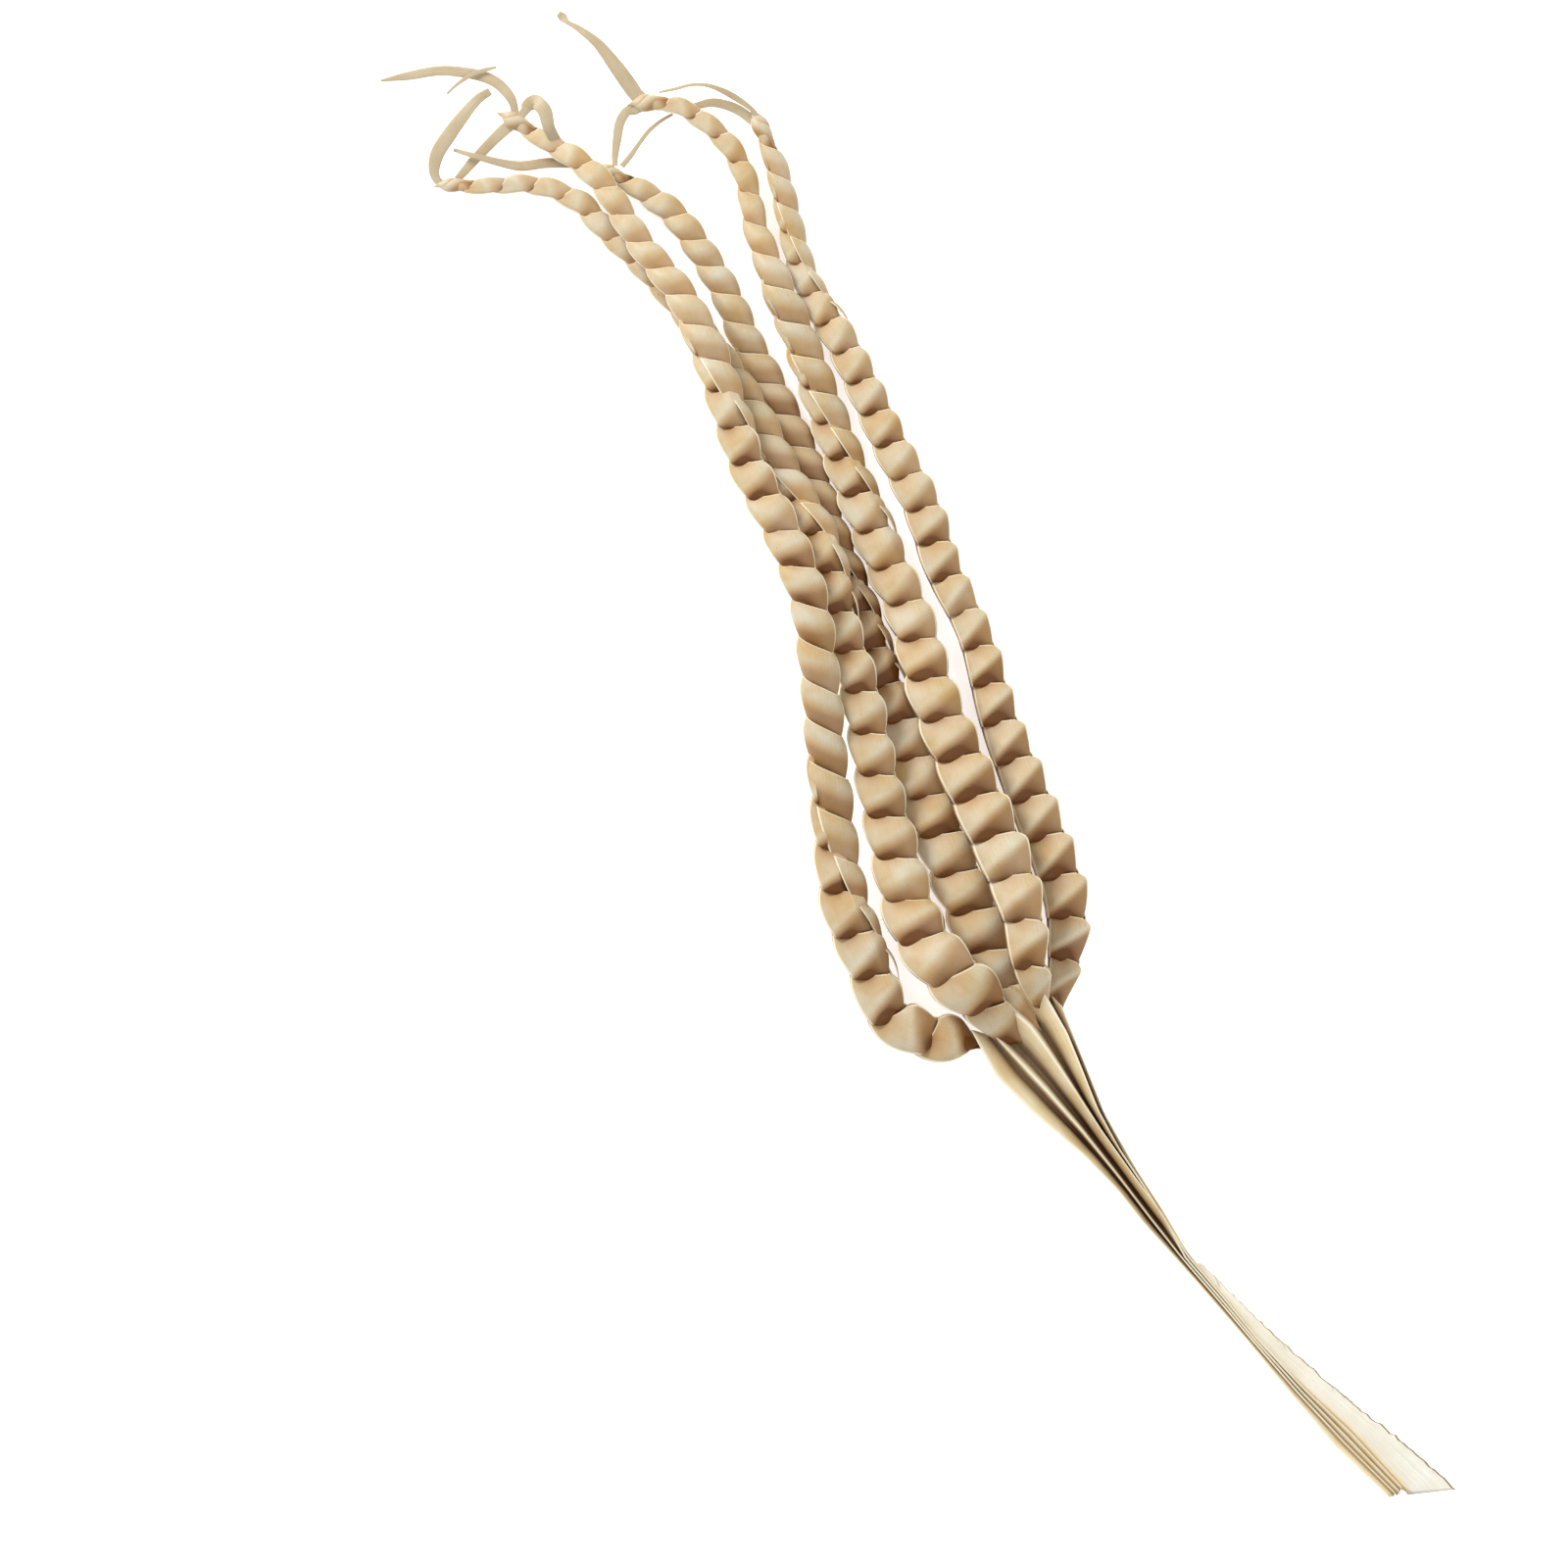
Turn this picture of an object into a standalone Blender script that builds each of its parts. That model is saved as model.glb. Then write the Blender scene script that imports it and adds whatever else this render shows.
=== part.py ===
# Dried palm leaf with its five segments worked into curled, twisted strands. It lies on its
# back: the folded blade base at one end, five lobed strands, and a knot with loose tails on each.
import math

import bmesh
import bpy
from mathutils import Vector

for old in list(bpy.data.objects):
    bpy.data.objects.remove(old)

# The plan is drawn on a 1600-unit square seen from above, then turned so that the leaf runs
# along +Y. One unit is 0.43 mm. Heights are in millimetres above the surface it lies on.
UNIT = 0.00043
MM = 0.001
PLAN_TURN = math.radians(30.0)
PLAN_CENTRE = (800.0, 800.0)
ORIGIN_SHIFT = (-0.0592, 0.0303, 0.0)

SHEET_T = 1.7 * MM
FLAT_T = 0.6 * MM
TAIL_T = 0.9 * MM
SIDES = 8
NOTCH = 0.8
LOBE_ROOT = 41.0
LOBE_TIP = 29.0
LOBE_LEAN = 0.13

# Strand centre lines from the base to the knot: u, v, height, half width (units), half height.
STRANDS = {
    1: [
        (1011, 1069, 15, 9, 7), (1003, 1061, 14, 10, 7), (975, 1062, 13, 24, 10),
        (938, 1055, 15, 28, 10), (905, 1035, 17, 27, 10), (885, 985, 19, 26, 10),
        (862, 925, 21, 25, 10), (851, 857, 23, 22, 9), (843, 770, 28, 21, 9),
        (836, 689, 33, 20, 8), (825, 613, 36, 20, 8), (800, 547, 34, 20, 8),
        (764, 478, 31, 19, 8), (740, 410, 30, 18, 7), (723, 361, 28, 18, 7),
        (697, 305, 24, 16, 6.5), (654, 249, 18, 14, 6), (617, 190, 13, 13, 5.5),
        (592, 165, 10, 12, 5), (566, 148, 7, 11, 4.5), (541, 133, 5, 9, 3.6),
    ],
    2: [
        (1029, 1058, 17, 9, 7), (1021, 1047, 18, 10, 7), (1003, 1022, 25, 24, 8),
        (976, 998, 30, 30, 9), (948, 968, 28, 29, 10), (930, 934, 24, 28, 10),
        (911, 862, 21, 25, 10), (893, 785, 22, 22, 9), (878, 708, 24, 21, 9),
        (857, 636, 24, 19, 8), (837, 554, 24, 18, 8), (795, 478, 20, 18, 7.5),
        (760, 405, 17, 17, 7), (720, 345, 12, 15, 6.5), (680, 295, 8, 14, 6),
        (645, 258, 6.5, 13, 5.5), (613, 228, 6, 12, 5), (594, 207, 5.5, 11.5, 4.8),
        (562, 191, 5, 10, 4.4), (531, 186, 4.4, 9, 4), (500, 188, 4, 8, 3.5),
        (478, 188, 3.6, 7, 3),
    ],
    3: [
        (1047, 1045, 14, 8, 7), (1039, 1034, 13, 9, 7), (1022, 1004, 11, 22, 8),
        (1001, 950, 11, 29, 9.5), (966, 869, 11.5, 27, 10.5), (938, 794, 11, 25, 10),
        (915, 727, 10, 23, 9.5), (899, 694, 9.6, 22, 9.2), (875, 621, 8.8, 20, 8.4),
        (850, 556, 8.2, 19, 7.8), (827, 489, 7.8, 18, 7.4), (795, 415, 7.4, 17, 7),
        (763, 350, 7, 16, 6.6), (738, 293, 6.6, 15, 6.2), (704, 238, 6.2, 14, 5.8),
        (683, 213, 5.8, 13, 5.4), (656, 194, 5.2, 12, 4.8), (638, 183, 4.6, 9, 4),
    ],
    4: [
        (1066, 1032, 17, 8, 7), (1059, 1021, 18, 9, 7), (1051, 984, 27, 18, 7),
        (1045, 940, 28, 22, 8), (1036, 905, 26, 25, 9), (1020, 863, 24, 26, 10),
        (985, 787, 22, 26, 10), (952, 709, 19, 25, 10), (929, 630, 12, 23, 9.6),
        (900, 564, 9.6, 22, 9), (872, 499, 9, 20, 8.6), (845, 428, 9.4, 19, 8.2),
        (820, 359, 11.5, 17, 7.6), (795, 295, 13.5, 15, 6.6), (772, 234, 8.6, 13, 5.8),
        (766, 203, 6, 12, 5.2), (758, 173, 5.2, 12, 4.8), (743, 146, 4.8, 11, 4.6),
        (722, 125, 4.8, 10, 4.4), (694, 107, 4.8, 9, 4), (678, 104, 4.6, 7, 3.4),
    ],
    5: [
        (1079, 1024, 12, 7, 6), (1079, 1012, 11, 8, 6), (1089, 973, 9.6, 18, 8),
        (1090, 924, 9.6, 22, 9), (1077, 877, 9.8, 23, 9.5), (1048, 803, 9.8, 22, 9.5),
        (1021, 734, 9, 20, 8.7), (1001, 662, 8.2, 18, 7.8), (987, 627, 8, 17.5, 7.6),
        (963, 579, 8.2, 19, 7.8), (942, 518, 8.6, 20, 8.2), (910, 455, 8.4, 19, 8),
        (883, 397, 8, 18, 7.6), (858, 346, 7.6, 17, 7.2), (832, 307, 6.8, 15, 6.4),
        (817, 272, 6.4, 14, 6), (808, 238, 6, 13, 5.6), (800, 202, 5.6, 12, 5.2),
        (791, 165, 5, 10, 4.6), (784, 147, 4.6, 8, 3.8),
    ],
}

# Knots: centre u, v, height, then the direction the strand arrives from, length and width in
# units and the half height in mm.
KNOTS = {
    1: (525, 122, 5.0, (541, 133), 27, 20, 3.6),
    2: (461, 187, 3.6, (478, 188), 26, 16, 3.0),
    3: (622, 174, 4.2, (638, 183), 24, 17, 3.2),
    4: (660, 103, 4.4, (678, 104), 27, 20, 3.6),
    5: (777, 129, 4.6, (784, 147), 30, 20, 3.8),
}

# Loose tails beyond the knots: u, v, height, width in units.
TAILS = {
    "tail_1a": [
        (524, 108, 6.5, 7), (519, 96, 7, 9), (505, 82, 6, 10), (484, 74, 5, 10),
        (450, 70, 4, 9), (416, 75, 3, 8), (387, 80, 2, 2),
    ],
    "tail_1b": [
        (515, 129, 2.4, 11), (500, 143, 2, 10), (482, 162, 1.4, 9), (472, 173, 1.2, 6),
    ],
    "tail_1c": [
        (506, 67, 7.4, 2), (494, 70, 7, 4), (480, 75, 6.8, 4), (466, 84, 5.4, 3),
        (455, 94, 4.6, 2),
    ],
    "loop_1": [
        (560, 130, 13, 11), (556, 114, 14, 13), (549, 105, 13, 13), (544, 103, 10, 13),
        (538, 107, 8, 12), (535, 112, 7.6, 8),
    ],
    "tail_2a": [
        (447, 184, 4, 7), (442, 172, 5, 10), (446, 154, 6, 13), (459, 134, 6, 13),
        (473, 115, 5, 11), (486, 100, 4, 9), (499, 91, 3, 7),
    ],
    "tail_2b": [
        (461, 133, 3.6, 3), (467, 122, 3, 4), (473, 108, 2.4, 2),
    ],
    "tail_3a": [
        (610, 169, 2.2, 7), (590, 165, 1.2, 8), (558, 164, 1.2, 9), (530, 167, 1.6, 9),
        (505, 163, 3.6, 7), (482, 157, 5, 5), (462, 151, 3.4, 3),
    ],
    "tail_3b": [
        (634, 168, 4, 5), (643, 157, 3.6, 5), (652, 144, 3, 4), (662, 131, 2, 4),
        (674, 121, 1, 3), (686, 114, 0.8, 2),
    ],
    "tail_4a": [
        (650, 96, 4.6, 13), (641, 84, 5, 14), (628, 66, 5.4, 13), (609, 42, 5, 9),
        (590, 27, 4, 6), (578, 20, 3, 5), (569, 11, 2, 4),
    ],
    "tail_4b": [
        (648, 110, 4.4, 9), (639, 112, 5, 9), (632, 124, 5.4, 9), (629, 142, 5, 8),
        (627, 158, 5, 6),
    ],
    "tail_5a": [
        (766, 119, 2.4, 9), (750, 108, 1.2, 9), (728, 102, 0.8, 8), (708, 106, 0.7, 6),
    ],
    "tail_5b": [
        (770, 113, 6.6, 4), (748, 97, 8, 6), (726, 87, 8.6, 4), (707, 85, 8, 3),
        (688, 89, 5, 3), (672, 92, 3.6, 2),
    ],
}

# The folded blade, as cross sections from the strands to the cut end: the left edge and the
# right edge of the folds, the outer edge of the flat leaf margin, then the heights of a ridge,
# a valley and the right edge.
BASE = [
    ((1004, 1078), (1083, 1024), (1086, 1022), 25.0, 8.0, 18.0),
    ((1051, 1132), (1104, 1084), (1107, 1082), 22.0, 7.0, 13.0),
    ((1105, 1178), (1135, 1153), (1138, 1150), 18.0, 5.0, 9.0),
    ((1166, 1246), (1185, 1231), (1188, 1229), 15.0, 3.6, 5.0),
    ((1203, 1286), (1217, 1275), (1220, 1273), 12.5, 2.8, 1.5),
    ((1237, 1326), (1249, 1315), (1255, 1311), 10.5, 2.4, 0.6),
    ((1272, 1366), (1283, 1358), (1291, 1352), 9.0, 2.2, 0.6),
    ((1318, 1422), (1333, 1411), (1346, 1401), 7.5, 2.2, 0.6),
    ((1364, 1477), (1383, 1463), (1402, 1449), 6.2, 2.2, 0.6),
    ((1421, 1531), (1443, 1527), (1490, 1524), 5.0, 2.2, 0.6),
]
FOLDS = (0.0, 0.05, 0.2, 0.34, 0.5, 0.66, 0.79, 0.9, 1.0)

LEAF = bpy.data.collections.new("dried_palm_leaf")
bpy.context.scene.collection.children.link(LEAF)


def material(name, rgb, rough):
    mat = bpy.data.materials.new(name)
    mat.use_nodes = True
    shader = mat.node_tree.nodes["Principled BSDF"]
    shader.inputs["Base Color"].default_value = (*rgb, 1.0)
    shader.inputs["Roughness"].default_value = rough
    return mat


STRAND_MAT = material("dried_strip", (0.58, 0.42, 0.23), 0.45)
BASE_MAT = material("dried_blade", (0.72, 0.6, 0.4), 0.5)
TAIL_MAT = material("dried_tail", (0.66, 0.5, 0.31), 0.5)


def place(u, v, z_mm):
    """A point of the plan, in metres in the frame of the object."""
    x = (u - PLAN_CENTRE[0]) * UNIT
    y = (PLAN_CENTRE[1] - v) * UNIT
    c, s = math.cos(PLAN_TURN), math.sin(PLAN_TURN)
    turned = Vector((c * x + s * y, c * y - s * x, z_mm * MM))
    return turned + Vector(ORIGIN_SHIFT)


def through(points, steps):
    """A smooth curve through the points, as rows of the same numbers."""
    rows = [list(p) for p in points]
    first = [2 * a - b for a, b in zip(rows[0], rows[1])]
    last = [2 * a - b for a, b in zip(rows[-1], rows[-2])]
    rows = [first] + rows + [last]
    out = []
    for i in range(1, len(rows) - 2):
        for k in range(steps):
            t = k / steps
            out.append([
                0.5 * (2 * b + (c - a) * t + (2 * a - 5 * b + 4 * c - d) * t * t
                       + (3 * b - a - 3 * c + d) * t ** 3)
                for a, b, c, d in zip(rows[i - 1], rows[i], rows[i + 1], rows[i + 2])
            ])
    out.append(rows[-2])
    return out


def lengths(rows):
    """Distance along the curve at each row, in units of the plan."""
    out = [0.0]
    for a, b in zip(rows, rows[1:]):
        out.append(out[-1] + math.dist(a[:2], b[:2]))
    return out


def at(rows, run, s):
    """The row of the curve at distance s."""
    for i in range(len(run) - 2):
        if run[i + 1] >= s:
            break
    t = (s - run[i]) / (run[i + 1] - run[i])
    return [a + (b - a) * t for a, b in zip(rows[i], rows[i + 1])]


def lofted(name, rings, mat):
    """One closed body through rings of the same number of points."""
    bm = bmesh.new()
    loops = [[bm.verts.new(p) for p in ring] for ring in rings]
    count = len(rings[0])
    # Both sides of a thin sheet are split along the same diagonals, so that they never cross.
    for a, b in zip(loops, loops[1:]):
        for i in range(count):
            j = (i + 1) % count
            if i < count // 2:
                bm.faces.new((a[i], a[j], b[j]))
                bm.faces.new((a[i], b[j], b[i]))
            else:
                bm.faces.new((a[i], a[j], b[i]))
                bm.faces.new((a[j], b[j], b[i]))
    for end in (loops[0], loops[-1]):
        for i in range(count // 2 - 1):
            bm.faces.new((end[i], end[i + 1], end[count - 2 - i], end[count - 1 - i]))
    bmesh.ops.recalc_face_normals(bm, faces=bm.faces)
    if bm.calc_volume(signed=True) < 0:
        bmesh.ops.reverse_faces(bm, faces=bm.faces)
    mesh = bpy.data.meshes.new(name)
    bm.to_mesh(mesh)
    bm.free()
    mesh.materials.append(mat)
    made = bpy.data.objects.new(name, mesh)
    LEAF.objects.link(made)
    return made


def frame_at(rows, run, s):
    """Centre, direction along, direction across in the plan and up, at distance s."""
    here = at(rows, run, s)
    before = at(rows, run, max(s - 2.0, 0.0))
    after = at(rows, run, min(s + 2.0, run[-1]))
    along = (place(*after[:3]) - place(*before[:3])).normalized()
    across = along.cross(Vector((0.0, 0.0, 1.0))).normalized()
    return here, along, across, across.cross(along)


def strand(name, points):
    """A lobed body: wide at the middle of each lobe, narrow and slanting at each notch."""
    rows = through(points, 8)
    run = lengths(rows)
    stops = []
    s = 14.0
    while s < run[-1] - 10.0:
        pitch = LOBE_ROOT + (LOBE_TIP - LOBE_ROOT) * s / run[-1]
        stops.append((s, 1.0, pitch))
        stops.append((s + pitch / 2, NOTCH, pitch))
        s += pitch
    stops = [(0.0, 1.0, 0.0)] + [p for p in stops if p[0] < run[-1] - 9.0]
    stops.append((run[-1], 1.0, 0.0))
    rings = []
    for s, swell, pitch in stops:
        here, along, across, up = frame_at(rows, run, s)
        wide = here[3] * UNIT * swell
        high = here[4] * MM * swell
        ring = []
        for k in range(SIDES):
            angle = 2 * math.pi * (k + 0.5) / SIDES
            lean = -LOBE_LEAN * pitch * UNIT * math.cos(angle)
            ring.append(
                place(*here[:3]) + across * (wide * math.cos(angle))
                + up * (high * math.sin(angle)) + along * lean
            )
        rings.append(ring)
    return lofted(name, rings, STRAND_MAT)


def knot(name, u, v, z, source, length, width, half_high):
    """A rounded lump that tapers towards the strand and towards the tails."""
    centre = place(u, v, z)
    reach = (math.dist((u, v), source) - 1.2) / length
    along = (centre - place(*source, z)).normalized()
    across = along.cross(Vector((0.0, 0.0, 1.0)))
    rings = []
    for t, swell in ((-reach, 0.5), (-0.3, 0.8), (0.04, 1.0), (0.26, 0.85), (0.4, 0.5)):
        ring = []
        for k in range(SIDES):
            angle = 2 * math.pi * (k + 0.5) / SIDES
            ring.append(
                centre + along * (t * length * UNIT)
                + across * (0.5 * width * UNIT * swell * math.cos(angle))
                + Vector((0.0, 0.0, half_high * MM * swell * math.sin(angle)))
            )
        rings.append(ring)
    return lofted(name, rings, TAIL_MAT)


def tail(name, points):
    """A thin flat strip that follows the points and narrows to its end."""
    rows = through(points, 3)
    run = lengths(rows)
    rings = []
    for s in run:
        here, along, across, up = frame_at(rows, run, s)
        half = max(here[3], 1.6) * UNIT / 2
        thick = TAIL_T / 2
        centre = place(*here[:3])
        rings.append([
            centre + across * half + up * thick,
            centre - across * half + up * thick,
            centre - across * half - up * thick,
            centre + across * half - up * thick,
        ])
    return lofted(name, rings, TAIL_MAT)


def blade_base():
    """The folded blade: a zigzag sheet whose right margin lies flat on the surface."""
    rings = []
    for left, right, margin, ridge, valley, side in BASE:
        top = []
        bottom = []
        for k, f in enumerate(FOLDS):
            u = left[0] + (right[0] - left[0]) * f
            v = left[1] + (right[1] - left[1]) * f
            z = ridge if k % 2 else valley
            if k == len(FOLDS) - 1:
                z = side
            thick = min(z, SHEET_T / MM) if k < len(FOLDS) - 1 else FLAT_T / MM
            top.append(place(u, v, z))
            bottom.append(place(u, v, z - thick))
        top.append(place(*margin, side))
        bottom.append(place(*margin, side - FLAT_T / MM))
        rings.append(top + bottom[::-1])
    return lofted("blade_base", rings, BASE_MAT)


blade_base()
for number, points in STRANDS.items():
    strand(f"strand_{number}", points)
for number, spec in KNOTS.items():
    knot(f"knot_{number}", *spec)
for name, points in TAILS.items():
    tail(name, points)
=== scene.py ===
import math

import bpy
import numpy as np
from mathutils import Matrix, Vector


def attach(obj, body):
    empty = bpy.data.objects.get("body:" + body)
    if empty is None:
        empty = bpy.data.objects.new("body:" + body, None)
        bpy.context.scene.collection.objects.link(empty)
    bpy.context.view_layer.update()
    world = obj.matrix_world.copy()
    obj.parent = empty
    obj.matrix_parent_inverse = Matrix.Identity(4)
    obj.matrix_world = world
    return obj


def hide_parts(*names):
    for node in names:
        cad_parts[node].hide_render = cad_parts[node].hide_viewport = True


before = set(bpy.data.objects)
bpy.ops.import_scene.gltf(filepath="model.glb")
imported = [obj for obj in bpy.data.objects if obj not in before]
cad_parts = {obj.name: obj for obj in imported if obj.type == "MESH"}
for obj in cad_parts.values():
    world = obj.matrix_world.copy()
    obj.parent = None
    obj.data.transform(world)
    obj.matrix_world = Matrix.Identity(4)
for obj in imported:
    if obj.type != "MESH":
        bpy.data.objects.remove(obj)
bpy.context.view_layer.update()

# The plan is a 1600-unit square seen from above, turned 30 degrees so that the leaf runs along
# +Y. One unit is 0.43 mm, and heights are in millimetres.
UNIT = 0.00043
MM = 0.001
PLAN_SIZE = 1600.0
PLAN_TURN = math.radians(30.0)
PLAN_CENTRE = PLAN_SIZE / 2
# Brings the middle of the leaf's box to the origin.
SHIFT = np.array((-0.0592, 0.0303, 0.0))
# How thick each kind of leaf is.
STRIP_T = 0.42 * MM
KNOT_T = 0.3 * MM
BLADE_T = 0.45 * MM
MARGIN_T = 0.3 * MM
# A straight run added at both ends of a centre line, for curls that reach past them.
LEAD = 20.0 * MM

# Centre lines of the strands from the base to the knot: u, v, height in mm, half width in units.
STRANDS = {
    1: [
        (994, 1064, 13, 9), (975, 1061, 13, 24), (938, 1054, 15, 26.5), (906, 1034, 17, 25.5),
        (886, 985, 19, 25.5), (862, 925, 21, 26), (851, 857, 23, 23), (843, 770, 28, 22),
        (836, 689, 33, 21.5), (825, 613, 36, 21.5), (800, 547, 34, 21.5), (764, 478, 31, 21),
        (740, 410, 30, 20), (723, 361, 28, 19.5), (697, 305, 24, 17), (654, 249, 18, 15),
        (617, 190, 13, 14), (592, 165, 10, 13), (566, 148, 7, 11.5), (541, 133, 5, 9.5),
    ],
    2: [
        (1029, 1058, 17, 14), (1003, 1022, 25, 27), (976, 998, 30, 32), (948, 968, 28, 31),
        (930, 934, 24, 30), (911, 862, 21, 27), (893, 785, 22, 24), (878, 708, 24, 22.5),
        (857, 636, 24, 21), (837, 554, 24, 20), (795, 478, 20, 19.5), (760, 405, 17, 18),
        (720, 345, 12, 16.5), (680, 295, 8, 15), (645, 258, 6.5, 14.5), (613, 228, 6, 13.5),
        (594, 207, 5.5, 12.5), (562, 191, 5, 11), (531, 186, 4.4, 10), (500, 188, 4, 9),
        (478, 188, 3.6, 8),
    ],
    3: [
        (1047, 1045, 14, 14), (1022, 1004, 11, 25), (1001, 950, 11, 30), (966, 869, 11.5, 29),
        (938, 794, 11, 26.5), (915, 727, 10, 24.5), (899, 694, 9.6, 23.5), (875, 621, 8.8, 21.5),
        (850, 556, 8.2, 20), (827, 489, 7.8, 19.5), (795, 415, 7.4, 18), (763, 350, 7, 17.5),
        (738, 293, 6.6, 16.5), (704, 238, 6.2, 15.5), (683, 213, 5.8, 14.5), (656, 194, 5.2, 12.5),
        (638, 183, 4.6, 10),
    ],
    4: [
        (1063, 1024, 18, 10), (1051, 984, 27, 20), (1045, 940, 28, 23.5), (1036, 905, 26, 27),
        (1020, 863, 24, 29), (985, 787, 22, 29), (952, 709, 19, 27), (929, 630, 12, 25),
        (900, 564, 9.6, 24), (872, 499, 9, 22), (845, 428, 9.4, 20.5), (820, 359, 11.5, 19),
        (795, 295, 13.5, 17), (772, 234, 8.6, 14), (766, 203, 6, 13), (758, 173, 5.2, 12.5),
        (743, 146, 4.8, 12), (722, 125, 4.8, 11), (694, 107, 4.8, 9.5), (678, 104, 4.6, 8),
    ],
    5: [
        (1079, 1024, 12, 11), (1089, 973, 9.6, 20), (1090, 924, 9.6, 24), (1077, 877, 9.8, 25),
        (1048, 803, 9.8, 24.5), (1021, 734, 9, 22), (1001, 662, 8.2, 19.5), (987, 627, 8, 19),
        (963, 579, 8.2, 20.5), (942, 518, 8.6, 21.5), (910, 455, 8.4, 20.5), (883, 397, 8, 19.5),
        (858, 346, 7.6, 18.5), (832, 307, 6.8, 16.5), (817, 272, 6.4, 15), (808, 238, 6, 14),
        (800, 202, 5.6, 13), (791, 165, 5, 11.5), (784, 147, 4.6, 9),
    ],
}

# How each strand rolls: (v of the plan, turn). A whole number is a lobe seen square on with its
# banded side, the half after it is the same lobe seen from its ridged side.
ROLLS = {
    1: [
        (1100, 0.40), (960, 0.55), (900, 0.70), (770, 1.0), (560, 1.25), (450, 1.5), (340, 2.0),
        (120, 2.4),
    ],
    2: [(1060, 0.30), (620, 0.50), (400, 1.0), (180, 1.4)],
    3: [(1050, 0.30), (720, 0.50), (350, 1.0), (170, 1.3)],
    4: [(1040, 0.42), (780, 0.38), (565, 0.50), (300, 1.0), (200, 1.3), (100, 1.5)],
    5: [(1030, 0.45), (600, 0.40), (340, 0.50), (160, 1.0)],
}

# How sharp the ridge of a lobe is along each strand: (v of the plan, share).
RIDGES = {
    1: [(1100, 0.3), (600, 0.1), (120, 0.1)],
    2: [(1060, 0.4), (950, 0.15), (700, 0.1), (180, 0.0)],
    3: [(1050, 0.5), (900, 0.15), (720, 0.1), (170, 0.0)],
    4: [(1040, 0.9), (800, 0.7), (740, 0.25), (560, 0.0), (100, 0.0)],
    5: [(1030, 1.0), (600, 0.9), (500, 0.3), (160, 0.1)],
}
# Painted shadow where the higher strands beside a strand shade it: (v of the plan, share).
NEIGHBOUR_SHADOWS = {
    3: [(1050, 0.0), (760, 0.0), (690, 0.25), (400, 0.28), (330, 0.0)],
}
NO_TINT = [(0, 0.0), (1, 0.0)]
# How many lobes a strand has, and their pitch at its base and its tip before they are fitted to
# its length, in units.
LOBES = {1: 28, 2: 28, 3: 26, 4: 26, 5: 25}
PITCH_ROOT = 41.0
PITCH_TIP = 27.5
# How far a lobe goes on down its side below the outline, in degrees.
HEM = 40.0
# Where a strand has turned past half a lobe, the older column of lobes goes on this many degrees
# under the newer one, and dives by this share of its height.
UNDERLAP = 18.0
DIVE = 0.4
# The newer column stands a little proud, as a share of the strand's half width, and its free edge
# slants by this many degrees.
PROUD = 0.08
ZIGZAG = 26.0
# A lobe narrower than this many degrees is left out.
NARROWEST = 12.0

# Knots: centre u, v, height in mm, a point that the strand arrives from, length and width in
# units.
KNOTS = {
    1: (525, 122, 5.0, (541, 133), 27, 20),
    2: (461, 187, 3.6, (478, 188), 26, 16),
    3: (622, 174, 4.2, (638, 183), 24, 17),
    4: (660, 103, 4.4, (678, 104), 27, 20),
    5: (777, 129, 4.6, (784, 147), 30, 20),
}
# The bands of a knot: middle and span as shares of its length, slant, lift and browning.
KNOT_BANDS = [
    (0.2, 0.75, -0.4, 0.0, 0.1), (0.78, 0.6, 0.5, 0.0, 0.0), (0.5, 0.62, 0.8, 0.09, -0.1),
]
# How far the bands fill the knot's width.
KNOT_FILL = 0.9

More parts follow.
